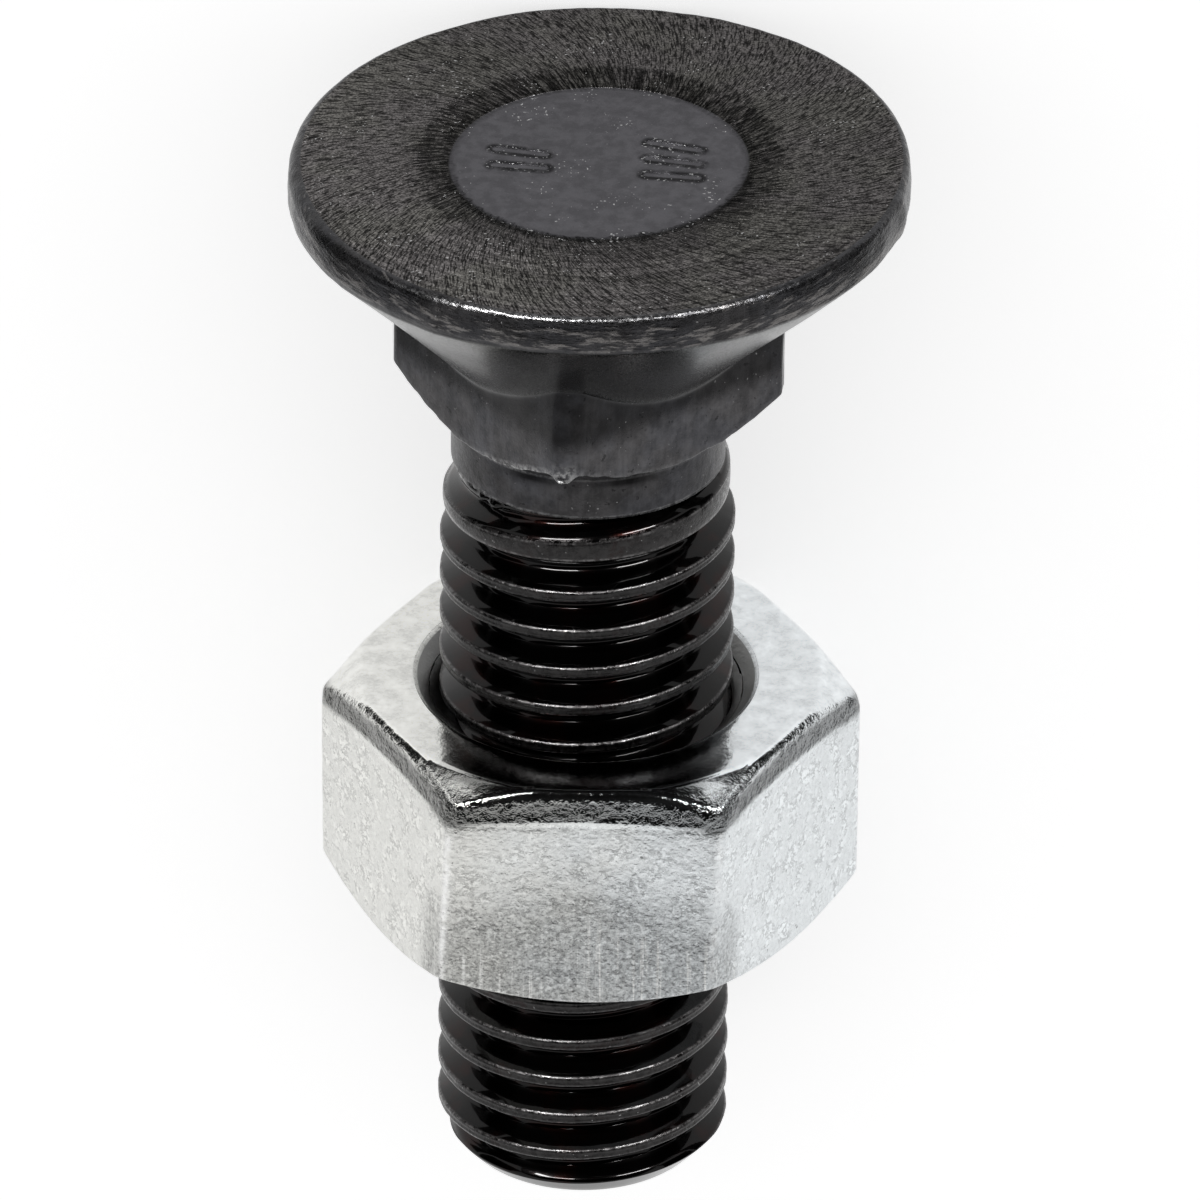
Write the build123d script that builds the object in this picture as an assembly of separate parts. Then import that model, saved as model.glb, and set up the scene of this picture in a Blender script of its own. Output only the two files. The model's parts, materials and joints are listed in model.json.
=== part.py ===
from build123d import *
from math import atan2, ceil, degrees, floor, radians, tan
import os

# Plow bolt M12 x 45 with its hexagon nut, lying on its side as it would come to rest: the rim of
# the head and one flat of the nut touch the surface, and the end of the thread stands clear of it.
# Both pieces are drawn upright, head face down on Z = 0 and axis along +Z, and then laid down.
# Everything is in millimetres. A "station" is a distance from the head face along the axis.

# ---- driving dimensions: thread (right-hand, rolled) ----
NOMINAL_D = 12.0        # nominal thread diameter
PITCH = 1.75            # coarse pitch
CREST_UNDER = 0.28      # how much less than nominal the rolled crests measure across
FLANK_ANGLE = 60.0      # included angle of the thread
THREAD_PHASE = 122.5    # where the crest meets the plane of the head face, about the axis, in degrees

# ---- driving dimensions: bolt ----
TOTAL_LENGTH = 45.0     # head face to the end of the thread
HEAD_D = 24.3           # flat countersunk head
HEAD_LAND = 1.6         # height of the round rim
HEAD_EDGE_R = 0.25      # rounding between the head face and the rim
HEAD_CONE_ANGLE = 90.0  # included angle of the countersink under the head
PANEL_D = 11.8          # round panel in the middle of the head face
PANEL_RING_W = 1.4      # width of the sloping ring round the panel
PANEL_DEPTH = 0.15      # how far the panel lies below the head face
NECK_UNDER = 0.4        # how much less than the nominal diameter the square neck is across flats
NECK_CORNER_R = 1.2     # rounding of the neck's four upright corners
NECK_REACH = 3.1        # length of the flats from where the countersink meets their middles
NECK_CREASE_R = 0.5     # rounding of the crease where the countersink meets the neck
NECK_CHAMFER = 33.0     # slope of the chamfer under the neck's corners
NECK_TURN = 4.0         # how far a corner of the neck is turned from the nut's upper flat, in degrees
COLLAR_LENGTH = 1.8     # plain collar from the neck's flats to where the thread begins to rise
RUN_OUT = 0.9           # length over which the crests rise, and the roots sink, from the collar
END_CHAMFER_L = 1.1     # length of the cone at the end of the thread

# ---- driving dimensions: nut ----
NUT_AF = 18.8           # across flats
NUT_HEIGHT = 10.0
NUT_STATION = 23.4      # station of the nut's face that looks at the head
NUT_CORNER_R = 0.6      # rounding of the six upright corners
NUT_SEAT_CUT = 1.1      # how far inside the flats the chamfer starts on the face towards the head
NUT_BACK_CUT = 0.55     # the same on the other face
NUT_CHAMFER = 30.0      # slope of both chamfers
NUT_SHOULDER_R = 0.8    # rounding between the flats and the chamfer on the face towards the head
NUT_SINK_OVER = 1.4     # how much wider than nominal the countersinks of the bore are
NUT_SINK_ANGLE = 90.0   # included angle of those countersinks
THREAD_CLEARANCE = 0.08  # running gap between the crests and the nut's bore, on the radius

# ---- worked out from them ----
FLANK_SLOPE = tan(radians(FLANK_ANGLE / 2))
SHARP_HEIGHT = PITCH / 2 / FLANK_SLOPE                  # height of the sharp thread triangle
PITCH_R = NOMINAL_D / 2 - 3 / 8 * SHARP_HEIGHT          # half the pitch diameter
ROOT_R = PITCH_R - SHARP_HEIGHT / 3                     # half the minor diameter of the bolt
CREST_R = (NOMINAL_D - CREST_UNDER) / 2
COLLAR_R = PITCH_R                                      # a rolled thread starts from this blank
HEAD_R = HEAD_D / 2
NECK_SIDE = NOMINAL_D - NECK_UNDER                      # the neck is forged from the same blank
CONE_SLOPE = tan(radians(HEAD_CONE_ANGLE / 2))
CREASE_END = HEAD_LAND + (HEAD_R - NECK_SIDE / 2) / CONE_SLOPE   # in the middle of each flat
NECK_END = CREASE_END + NECK_REACH
COLLAR_END = NECK_END + COLLAR_LENGTH
BORE_R = CREST_R + THREAD_CLEARANCE
NUT_END = NUT_STATION + NUT_HEIGHT
NUT_SEAT_R = NUT_AF / 2 - NUT_SEAT_CUT                  # inner edge of the chamfer at each end
NUT_BACK_R = NUT_AF / 2 - NUT_BACK_CUT
NUT_SINK_R = (NOMINAL_D + NUT_SINK_OVER) / 2
BACK_CHAMFER_DROP = NUT_BACK_CUT * tan(radians(NUT_CHAMFER))


def turned(*points):
    """A solid of revolution about +Z from (radius, station) points."""
    return revolve(make_face(Polyline(*[(r, 0, s) for r, s in points], close=True)), Axis.Z)


# ---- bolt ----
def threaded_rod(first, last):
    """A full-depth threaded rod that reaches past both stations by up to two turns.

    The skin is a ribbon one pitch wide: crest, flank, root and flank, each a strip of straight
    lines between two helices. It climbs one pitch a turn, so its upper edge is its own lower edge
    a turn later. A helical ramp from the axis and a flat step close each end.
    """
    crest_half = PITCH / 4 - (CREST_R - PITCH_R) * FLANK_SLOPE
    root_half = PITCH / 4 - (PITCH_R - ROOT_R) * FLANK_SLOPE
    profile = [
        (CREST_R, -crest_half),
        (CREST_R, crest_half),
        (ROOT_R, PITCH / 2 - root_half),
        (ROOT_R, PITCH / 2 + root_half),
        (CREST_R, PITCH - crest_half),
    ]
    low_turn = floor(first / PITCH) - 1
    high_turn = ceil(last / PITCH) + 1

    def helix(radius, rise, turn):
        return Edge.make_helix(PITCH, PITCH, radius, center=(0, 0, rise + turn * PITCH))

    def end_faces(turn):
        base = profile[0][1] + turn * PITCH
        axis_rise = Edge.make_line((0, 0, base), (0, 0, base + PITCH))
        ramp = Face.make_surface_from_curves(helix(CREST_R, profile[0][1], turn), axis_rise)
        edge = [(r, 0, z + turn * PITCH) for r, z in profile]
        step = make_face(Polyline((0, 0, base), *edge, (0, 0, base + PITCH), close=True)).face()
        return [ramp, step]

    faces = end_faces(low_turn)
    for turn in range(low_turn, high_turn):
        for (r0, z0), (r1, z1) in zip(profile, profile[1:]):
            faces.append(Face.make_surface_from_curves(helix(r0, z0, turn), helix(r1, z1, turn)))
    faces += end_faces(high_turn)
    return Rot(0, 0, THREAD_PHASE) * Solid(Shell(faces))


def thread():
    """The rod trimmed by the cone it rises from at the collar and the cone at its end."""
    rod = threaded_rod(COLLAR_END, TOTAL_LENGTH)
    outside = CREST_R + PITCH
    envelope = turned(
        (0, COLLAR_END),
        (COLLAR_R, COLLAR_END),
        (CREST_R, COLLAR_END + RUN_OUT),
        (outside, COLLAR_END + RUN_OUT),
        (outside, TOTAL_LENGTH - END_CHAMFER_L),
        (CREST_R, TOTAL_LENGTH - END_CHAMFER_L),
        (ROOT_R, TOTAL_LENGTH),
        (0, TOTAL_LENGTH),
    )
    return rod & envelope


def head_and_collar():
    """Rim, 90 degree countersink, sunk panel, and the plain collar that the thread runs out into."""
    cone_end = HEAD_LAND + (HEAD_R - COLLAR_R) / CONE_SLOPE
    body = turned(
        (0, 0),
        (HEAD_R, 0),
        (HEAD_R, HEAD_LAND),
        (COLLAR_R, cone_end),
        (COLLAR_R, COLLAR_END),
        (ROOT_R, COLLAR_END + RUN_OUT),
        (0, COLLAR_END + RUN_OUT),
    )
    face_edge = body.edges().filter_by(GeomType.CIRCLE).sort_by(Axis.Z)[0]
    body = fillet(face_edge, HEAD_EDGE_R)
    panel_r = PANEL_D / 2
    return body - turned((0, 0), (0, PANEL_DEPTH), (panel_r, PANEL_DEPTH), (panel_r + PANEL_RING_W, 0))


def neck():
    """Square neck from the rim down, its corners cut back to the collar by one chamfer cone."""
    slope = tan(radians(NECK_CHAMFER))
    flat_r = NECK_SIDE / 2
    foot = NECK_END + (flat_r - COLLAR_R) * slope
    square = RectangleRounded(NECK_SIDE, NECK_SIDE, NECK_CORNER_R)
    post = Rot(0, 0, 45 + NECK_TURN) * extrude(Pos(0, 0, HEAD_LAND) * square, foot - HEAD_LAND)
    chamfer = turned(
        (0, HEAD_LAND),
        (NECK_SIDE, HEAD_LAND),
        (NECK_SIDE, NECK_END - (NECK_SIDE - flat_r) * slope),
        (COLLAR_R, foot),
        (0, foot),
    )
    return post & chamfer


def bolt():
    """Head, neck and collar with the crease between head and neck rounded, then the thread."""
    blank = head_and_collar() + neck()
    crease = blank.edges().filter_by(GeomType.LINE, reverse=True).filter_by_position(
        Axis.Z, HEAD_LAND, CREASE_END + NECK_REACH / 4, inclusive=(False, True)
    )
    return fillet(crease, NECK_CREASE_R) + thread()


# ---- nut ----
def hex_nut():
    """Hexagon chamfered at both ends, bored to clear the crests, countersunk at both mouths.

    The edge between the flats and the chamfer nearer the head is forged round; the other is sharp.
    """
    hexagon = RegularPolygon(NUT_AF / 2, 6, major_radius=False)
    hexagon = fillet(hexagon.vertices(), NUT_CORNER_R)
    block = extrude(Pos(0, 0, NUT_STATION) * hexagon, NUT_HEIGHT)
    slope = tan(radians(NUT_CHAMFER))
    reach = NUT_AF
    barrel = turned(
        (0, NUT_STATION),
        (NUT_SEAT_R, NUT_STATION),
        (reach, NUT_STATION + (reach - NUT_SEAT_R) * slope),
        (reach, NUT_END - (reach - NUT_BACK_R) * slope),
        (NUT_BACK_R, NUT_END),
        (0, NUT_END),
    )
    sink = (NUT_SINK_R - BORE_R) / tan(radians(NUT_SINK_ANGLE / 2))
    bore = turned(
        (0, NUT_STATION),
        (NUT_SINK_R, NUT_STATION),
        (BORE_R, NUT_STATION + sink),
        (BORE_R, NUT_END - sink),
        (NUT_SINK_R, NUT_END),
        (0, NUT_END),
    )
    blank = block & barrel
    shoulder = blank.edges().filter_by(GeomType.LINE, reverse=True).filter_by_position(
        Axis.Z, NUT_STATION, NUT_STATION + NUT_HEIGHT / 2, inclusive=(False, True)
    )
    return fillet(shoulder, NUT_SHOULDER_R) - bore


# ---- laying down ----
def lay_down(pieces):
    """Turn the axis to lie along +Y, tilt it onto its two contacts and stand it on Z = 0.

    The contacts are the back edge of the rim and the back edge of the nut's lower flat.
    """
    drop = HEAD_R - NUT_AF / 2
    span = NUT_END - BACK_CHAMFER_DROP - HEAD_LAND
    tilt = degrees(atan2(drop, span))
    laid = [Rot(-90 - tilt, 0, 0) * piece for piece in pieces]
    box = Compound(children=laid).bounding_box()
    centre = box.center()
    place = Pos(-centre.X, -centre.Y, -box.min.Z)
    return [place * piece for piece in laid], tilt, place


def main():
    nodes = {"bolt": bolt(), "hex_nut": hex_nut()}
    laid, tilt, place = lay_down(nodes.values())
    os.makedirs("parts", exist_ok=True)
    for name, piece in zip(nodes, laid):
        export_step(piece.solid(), os.path.join("parts", f"{name}.step"))
    print(f"tilt {tilt:.4f} degrees, placed at {tuple(place.position)}")


main()
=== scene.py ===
"""Looks of the plow bolt and its hexagon nut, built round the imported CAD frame.

Both pieces are closed skins wound round the bolt's axis in the bolt's own frame: origin in the
middle of the head face, +z along the axis to the thread end, -y up and away from the surface that
the bolt lies on. Lengths here are millimetres until the meshes are written, in metres and in the
row's frame.
"""

import itertools
import json
import math

import bpy
import numpy as np
from mathutils import Matrix, Vector

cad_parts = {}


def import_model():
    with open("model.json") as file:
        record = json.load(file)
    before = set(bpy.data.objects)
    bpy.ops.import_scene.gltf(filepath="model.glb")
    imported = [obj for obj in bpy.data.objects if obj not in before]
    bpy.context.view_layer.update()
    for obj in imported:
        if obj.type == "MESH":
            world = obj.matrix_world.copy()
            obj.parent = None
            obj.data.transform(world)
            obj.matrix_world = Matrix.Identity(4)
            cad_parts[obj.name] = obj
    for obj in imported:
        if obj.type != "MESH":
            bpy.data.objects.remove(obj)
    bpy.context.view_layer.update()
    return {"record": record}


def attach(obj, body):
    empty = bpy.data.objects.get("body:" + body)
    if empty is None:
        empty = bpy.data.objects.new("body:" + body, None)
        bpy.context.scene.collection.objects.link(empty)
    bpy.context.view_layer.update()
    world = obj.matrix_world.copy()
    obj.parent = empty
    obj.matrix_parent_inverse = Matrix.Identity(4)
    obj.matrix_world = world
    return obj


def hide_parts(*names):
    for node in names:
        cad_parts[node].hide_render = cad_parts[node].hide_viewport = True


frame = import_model()

MM = 0.001
mounts = {mount["name"]: mount for mount in frame["record"]["mounts"]}

# ---- sizes that the frame gives ----
AXIS = Vector(mounts["thread"]["axis"]).normalized()
ACROSS = Vector((1, 0, 0))
LOCAL = Matrix((ACROSS, AXIS.cross(ACROSS), AXIS)).transposed()     # bolt's frame to the row's
ON_AXIS = Vector(mounts["thread"]["pos_m"])
FACE_POINT = Vector(mounts["head_face"]["pos_m"])
ORIGIN = ON_AXIS - AXIS * (ON_AXIS - FACE_POINT).dot(AXIS)
HEAD_R = mounts["square_neck"]["dims"]["r_mm"]
NECK_END = mounts["square_neck"]["dims"]["length_mm"]
CREST_R = mounts["thread"]["dims"]["r_mm"]
NUT_HEIGHT = mounts["nut_hex"]["dims"]["length_mm"]
NUT_START = (Vector(mounts["nut_seat"]["pos_m"]) - ORIGIN).dot(AXIS) / MM

# ---- bolt ----
BOLT_COLUMNS = 208
BOLT_LENGTH = 45.0
HEAD_OFFSET = 0.32          # the forged head sits this far off the axis of its shank
HEAD_TILT_ACROSS = math.tan(math.radians(0.8))  # and leans a little, across and back
HEAD_TILT_BACK = math.tan(math.radians(0.9))
PANEL_R = 5.9
PANEL_RING = 1.4
PANEL_DEPTH = 0.14
HEAD_LAND = 1.6
RIM_BULGE = 0.05            # how far the rim swells in the middle of its height
RIM_BREAK = 0.12            # where the rim turns into the countersink, from the sharp corner
POLE_R = 0.12               # the smallest ring of the head face
NECK_HALF = 5.8
NECK_DIAGONAL = 7.70        # axis to the small flat across each corner
NECK_TURN = -86.0           # direction of the front corner, in degrees from +x
NECK_CHAMFER = math.tan(math.radians(33.0))
NECK_EDGE = 0.07            # rounding between the neck's flats and the chamfer
NIB_WIDTH = 3.2             # half the width of the flash on the front corner, in degrees
CREASE_FILLET = 0.5
COLLAR_R = 5.43
COLLAR_START = NECK_END + (NECK_HALF - COLLAR_R) * NECK_CHAMFER
COLLAR_END = 13.13
END_CHAMFER = 1.1
FACE_KIND, FORGED_KIND, THREAD_KIND = 0, 1, 2   # places of the bolt's materials

# ---- thread ----
PITCH = 1.75
PITCH_R = 5.43
ROOT_R = 4.925
FLANK = 1.0 / math.tan(math.radians(30.0))      # rise of a flank for each mm along the axis
THREAD_PHASE = math.radians(122.5)              # a crest meets the plane of the head face here
CREST_HALF = 0.19                               # half the width of a crest's land
FIRST_LAND = 0.48                               # how much wider the land of the first turn is
ROOT_START = 0.62                               # offset from a crest at which the round root begins
NUT_THREAD_GAP = 0.09                           # the nut's thread lies this far out from the bolt's

# ---- nut ----
NUT_COLUMNS = 300
NUT_HALF = 9.4
NUT_CORNER_R = 0.6
NUT_CORNER_TURN = -60.0     # direction of the corner at the front left, in degrees from +x
NUT_SEAT_R = 9.2            # the flat seat reaches this far, where the corners' chamfer starts
NUT_BACK_R = 8.85
NUT_CHAMFER = math.tan(math.radians(30.0))
NUT_MOUTH_R = 6.88
NUT_MINOR_R = 5.12
NUT_OFFSET = 0.2            # the hexagon sits this far off its bore
NUT_TWIST = 0.005           # and turns this much, in radians, for each mm down the axis
NUT_END = NUT_START + NUT_HEIGHT
NUT_SINK = 0.6              # depth of the bore's countersinks
NUT_LIP = 0.14              # rounding of their outer edges
SHOULDER_REACH = 1.7        # how far the rounding under the seat runs down the middle of a flat
SHOULDER_LESS = 0.95        # and how much less at a corner
PLATED_KIND, NUT_THREAD_KIND = 0, 1             # places of the nut's materials


# ---- noise and curves ----
def hashed(cell, seed):
    """A repeatable number from 0 to 1 for each whole-numbered cell."""
    mixed = (cell[..., 0] * 374761393 + cell[..., 1] * 668265263
             + cell[..., 2] * 1440662683 + seed * 974634777) & 0xFFFFFFFF
    mixed = ((mixed ^ (mixed >> 13)) * 1274126177) & 0xFFFFFFFF
    return ((mixed ^ (mixed >> 16)) & 0xFFFFFF) / 0xFFFFFF


def rough(points, size, seed):
    """Smooth noise from -1 to 1 at points of shape (..., 3), with features of about that size."""
    place = points / size
    cell = np.floor(place).astype(np.int64)
    part = place - cell
    part = part * part * (3 - 2 * part)
    total = 0
    for corner in itertools.product((0, 1), repeat=3):
        weight = np.prod(np.where(corner, part, 1 - part), axis=-1)
        total = total + weight * hashed(cell + np.array(corner), seed)
    return 2 * total - 1


def smooth(value, low, high):
    """0 below low, 1 above high, and a smooth rise between."""
    part = np.clip((value - low) / (high - low), 0, 1)
    return part * part * (3 - 2 * part)


def bell(value, middle, width):
    """1 at the middle, falling smoothly to 0 away from it."""
    return np.exp(-((value - middle) / width) ** 2)


def turn_from(angle, middle):
    """Signed angle from middle, in degrees, where angle is in radians."""
    return (np.degrees(angle) - middle + 180) % 360 - 180


def towards(angle, direction, width):
    """1 in a direction, falling smoothly to 0 away from it; both given in degrees."""
    return bell(turn_from(angle, direction), 0, width)


def softer_min(a, b, blend):
    """The smaller of two, with the change between them rounded."""
    return -blend * np.logaddexp(-a / blend, -b / blend)


# ---- skins ----
class Skin:
    """A closed skin made of rings of points. Every ring has one point in each column.

    Each point has a mark too: 1 on a sharp edge that wears bright, 0 elsewhere. last is the ring
    that was made last and tip its (radius, station), from which the next rings go on. A radius or
    a station may be an array, with one value for each column.
    """

    def __init__(self, angles):
        self.angles = angles
        self.points = []
        self.marks = []
        self.faces = []
        self.kinds = []
        self.count = 0
        self.last = self.tip = None

    def add(self, radius, station, angle, mark=0.0):
        """New points from cylindrical arrays, and their numbers."""
        radius, station, angle, mark = np.broadcast_arrays(radius, station, angle, mark)
        flat = np.stack([radius * np.cos(angle), radius * np.sin(angle), station], -1)
        self.points.append(flat.reshape(-1, 3))
        self.marks.append(mark.reshape(-1))
        numbers = np.arange(radius.size).reshape(radius.shape) + self.count
        self.count += radius.size
        return numbers

    def ring(self, radius, station):
        self.last = self.add(radius, station, self.angles)
        self.tip = (radius, station)
        return self.last

    def band(self, upper, lower, kind):
        """Faces between two rings, given in the order that turns them outwards."""
        quads = np.stack([upper, lower, np.roll(lower, -1), np.roll(upper, -1)], -1)
        self.quads(quads, kind)

    def quads(self, quads, kind):
        """Keeps quads, makes triangles of those with two equal corners and drops the rest."""
        quads = quads.reshape(-1, 4)
        for quad in quads.tolist():
            corners = [c for c, before in zip(quad, quad[-1:] + quad[:-1]) if c != before]
            if len(corners) > 2:
                self.faces.append(corners)
                self.kinds.append(kind)

    def row(self, radius, station, kind):
        """One more ring, joined to the last."""
        before = self.last
        self.band(before, self.ring(radius, station), kind)

    def line(self, end, steps, kind):
        """Rings straight on to end."""
        start = self.tip
        for part in np.arange(1, steps + 1) / steps:
            self.row(*(start[i] + (end[i] - start[i]) * part for i in (0, 1)), kind)
        self.tip = end

    def bend(self, corner, end, steps, kind):
        """Rings on to end along a curve drawn to the corner."""
        start = self.tip
        for t in np.arange(1, steps + 1) / steps:
            a, b, c = (1 - t) ** 2, 2 * t * (1 - t), t * t
            self.row(*(a * start[i] + b * corner[i] + c * end[i] for i in (0, 1)), kind)
        self.tip = end

    def pole(self, station, kind, outwards):
        """Closes the last ring with one point on the axis."""
        number = self.add(np.array([0.0]), np.array([station]), np.array([0.0]))[0]
        tip = np.full_like(self.last, number)
        if outwards:
            self.band(tip, self.last, kind)
        else:
            self.band(self.last, tip, kind)

    def helix(self, first, last, start, end, profile, shape, kind):
        """Rows along a helix from ring first at station start to ring last at station end.

        profile holds (place, offset) over one pitch; shape turns offsets and stations into radii,
        stations and marks. Rows that would pass an end stop at its ring.
        """
        per_turn = len(profile)
        low = math.floor(min(start, end) / PITCH) - 2
        turns = math.ceil(abs(end - start) / PITCH) + 4
        place = np.array([step[0] for step in profile])
        offset = np.tile([step[1] for step in profile], turns)
        along = (low + np.arange(turns))[:, None] * PITCH + place[None, :]
        climb = PITCH * (self.angles - THREAD_PHASE) / (2 * math.pi)
        station = along.reshape(-1, 1) + climb[None, :]
        radius, station, mark = shape(offset[:, None], station)
        if end < start:
            start, end, first, last = end, start, last, first
        inside = (station > start + 0.03) & (station < end - 0.03)
        numbers = self.add(radius, station, self.angles[None, :], mark)
        numbers = np.where(inside, numbers, np.where(station < (start + end) / 2, first, last))
        following = np.roll(numbers, -1, axis=1)
        following[:-per_turn, -1] = numbers[per_turn:, 0]
        following[-per_turn:, -1] = numbers[-1, 0]
        quads = np.stack([numbers[:-1], numbers[1:], following[1:], following[:-1]], -1)
        self.quads(quads[:-per_turn], kind)

    def arrays(self):
        """The points and marks, with those in no face dropped, and the faces renumbered."""
        points = np.concatenate(self.points)
        used = np.zeros(len(points), bool)
        used[np.concatenate([np.array(face) for face in self.faces])] = True
        number = np.cumsum(used) - 1
        self.faces = [[int(number[c]) for c in face] for face in self.faces]
        return points[used], np.concatenate(self.marks)[used]


def normals_of(points, faces):
    """Unit normals at the points, each face weighted by its area."""
    quads = np.array([face if len(face) == 4 else face + face[-1:] for face in faces])
    across = points[quads[:, 2]] - points[quads[:, 0]]
    other = points[quads[:, 3]] - points[quads[:, 1]]
    face_normals = np.cross(across, other)
    total = np.zeros_like(points)
    for corner in range(4):
        np.add.at(total, quads[:, corner], face_normals)
    return total / np.maximum(np.linalg.norm(total, axis=1, keepdims=True), 1e-12)


def focused(count, folds, middle, strength):
    """Column angles, denser towards folds evenly spaced directions, one of them the middle."""
    even = np.arange(count) * 2 * math.pi / count
    return even - strength / folds * np.sin(folds * (even - math.radians(middle)))


# ---- bolt skin ----
def neck_radius(angle):
    """Distance from the axis to the square neck in each column."""
    from_corner = np.radians((turn_from(angle, NECK_TURN) + 45) % 90 - 45)
    from_flat = math.pi / 4 - np.abs(from_corner)
    return softer_min(NECK_HALF / np.cos(from_flat), NECK_DIAGONAL / np.cos(from_corner), 0.02)


def face_edge(angle):
    """Rounding between face and rim: broad on the left of the front, tight in front."""
    return 0.2 + 0.35 * towards(angle, -20, 42) + 0.12 * towards(angle, -150, 40)


def nib_share(angle):
    """1 across the nib of flash on the neck's front corner, 0 away from it."""
    return np.exp(-(turn_from(angle, NECK_TURN + 1) / NIB_WIDTH) ** 4)


def chamfer_station(angle, neck):
    """Where the neck's flats end: a ragged edge, with a nib of flash on the front corner."""
    station = NECK_END - (neck - NECK_HALF) * NECK_CHAMFER
    station = station + 0.42 * nib_share(angle)
    station = station - 0.45 * towards(angle, NECK_TURN + 90, 20)
    edge = np.stack([neck * np.cos(angle), neck * np.sin(angle), 0 * angle], -1)
    return station + 0.05 * rough(edge, 0.7, 11) + 0.04 * rough(edge, 0.3, 12)


def head_rows(skin):
    """Head face from the panel outwards, rim, countersink, square neck and collar."""
    angle = skin.angles
    skin.ring(POLE_R, PANEL_DEPTH)
    skin.pole(PANEL_DEPTH, FACE_KIND, outwards=True)
    skin.line((PANEL_R - 0.15, PANEL_DEPTH), 12, FACE_KIND)
    skin.bend((PANEL_R, PANEL_DEPTH), (PANEL_R + 0.1, PANEL_DEPTH - 0.02), 3, FACE_KIND)
    skin.line((PANEL_R + PANEL_RING, 0.0), 6, FACE_KIND)
    edge = face_edge(angle)
    skin.line((HEAD_R - edge, 0.0), 14, FACE_KIND)
    for turn in np.radians(np.linspace(-90, 0, 8))[1:]:
        skin.row(HEAD_R - edge + edge * math.cos(turn), edge + edge * math.sin(turn), FORGED_KIND)
    land_end = HEAD_LAND - RIM_BREAK
    for part in np.arange(1, 8) / 7:
        bulge = RIM_BULGE * math.sin(math.pi * part)
        skin.row(HEAD_R + bulge, edge + (land_end - edge) * part, FORGED_KIND)
    skin.bend((HEAD_R, HEAD_LAND), (HEAD_R - 0.16, HEAD_LAND + 0.16), 4, FORGED_KIND)

    neck = neck_radius(angle)
    crease = HEAD_LAND + HEAD_R - neck
    reach = CREASE_FILLET * math.tan(math.radians(22.5))
    skin.line((neck + reach * math.sqrt(0.5), crease - reach * math.sqrt(0.5)), 16, FORGED_KIND)
    skin.bend((neck, crease), (neck, crease + reach), 5, FORGED_KIND)

    chamfer = chamfer_station(angle, neck)
    skin.line((neck, chamfer - NECK_EDGE), 14, FORGED_KIND)
    below = (neck - NECK_EDGE, chamfer + NECK_EDGE * NECK_CHAMFER)
    skin.bend((neck, chamfer), below, 3, FORGED_KIND)
    skin.line((COLLAR_R, COLLAR_START), 6, FORGED_KIND)
    skin.line((COLLAR_R, COLLAR_END), 12, FORGED_KIND)


def thread_steps():
    """(place, offset) over one pitch of the thread, from the middle of a crest.

    The offset is measured from the nearest crest: above zero past it, below zero on the way to the
    next. The shape functions turn it into a radius.
    """
    half = [0.0, 0.07, 0.13, CREST_HALF, 0.25, 0.42, 0.6, 0.7, 0.78, PITCH / 2]
    places = half + [PITCH - step for step in reversed(half[1:-1])]
    return [(place, place if place <= PITCH / 2 else place - PITCH) for place in places]


def sharp_thread(offset):
    """Radius of the sharp thread at an offset from the middle of its crest."""
    return PITCH_R + (PITCH / 4 - np.abs(offset)) * FLANK


def widening(crest):
    """How far the land of the first turn reaches towards the head, by its crest's station."""
    return FIRST_LAND * (1 - smooth(crest, 14.55, 15.25))


def bolt_thread(offset, station):
    """The rolled thread: seamed crests, round roots, a wide first land and a chamfered end."""
    crest = station - offset
    upper = widening(crest) * (1 - smooth(offset, -CREST_HALF, CREST_HALF))
    lower = np.where(offset > 0, widening(crest + PITCH) * smooth(offset, CREST_HALF, 0.7), 0)
    risen = 0.65 * smooth(crest, 13.5, 14.2) + 0.35 * smooth(crest, 14.6, 15.7)
    top = COLLAR_R - 0.2 + (CREST_R - COLLAR_R + 0.2) * risen
    seam = 0.03 * bell(offset, 0, 0.05) * smooth(crest, 14.9, 15.6)
    round_edge = 0.025 * smooth(np.abs(offset), 0.1, CREST_HALF)
    across = (PITCH / 2 - np.abs(offset)) / (PITCH / 2 - ROOT_START)
    root = ROOT_R + (sharp_thread(ROOT_START) - ROOT_R) * np.clip(across, 0, 1) ** 2
    radius = np.where(np.abs(offset) > ROOT_START, root, sharp_thread(offset))
    radius = np.minimum(radius, top - seam - round_edge)
    cone = ROOT_R + (BOLT_LENGTH - station) * (CREST_R - ROOT_R) / END_CHAMFER
    edge = bell(np.abs(offset), CREST_HALF, 0.02) * (cone > radius) * smooth(crest, 13.9, 14.3)
    return np.minimum(radius, cone), station - upper - lower, edge


def bolt_skin():
    """The bolt from the middle of the head face to the middle of the thread's end."""
    skin = Skin(focused(BOLT_COLUMNS, 4, NECK_TURN, 0.45))
    head_rows(skin)
    collar = skin.last
    end_r = ROOT_R + 0.02
    end_station = BOLT_LENGTH - 0.04
    end = skin.ring(end_r, end_station)
    skin.helix(collar, end, COLLAR_END, end_station, thread_steps(), bolt_thread, THREAD_KIND)
    skin.row(end_r - 0.03, BOLT_LENGTH - 0.01, THREAD_KIND)
    skin.row(end_r - 0.1, BOLT_LENGTH, THREAD_KIND)
    skin.line((0.5, BOLT_LENGTH), 6, FORGED_KIND)
    skin.pole(BOLT_LENGTH, FORGED_KIND, outwards=False)
    return skin


# ---- nut skin ----
def from_nut_corner(angle):
    """Signed angle from the nearest corner of the nut, in degrees."""
    return (turn_from(angle, NUT_CORNER_TURN) + 30) % 60 - 30


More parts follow.
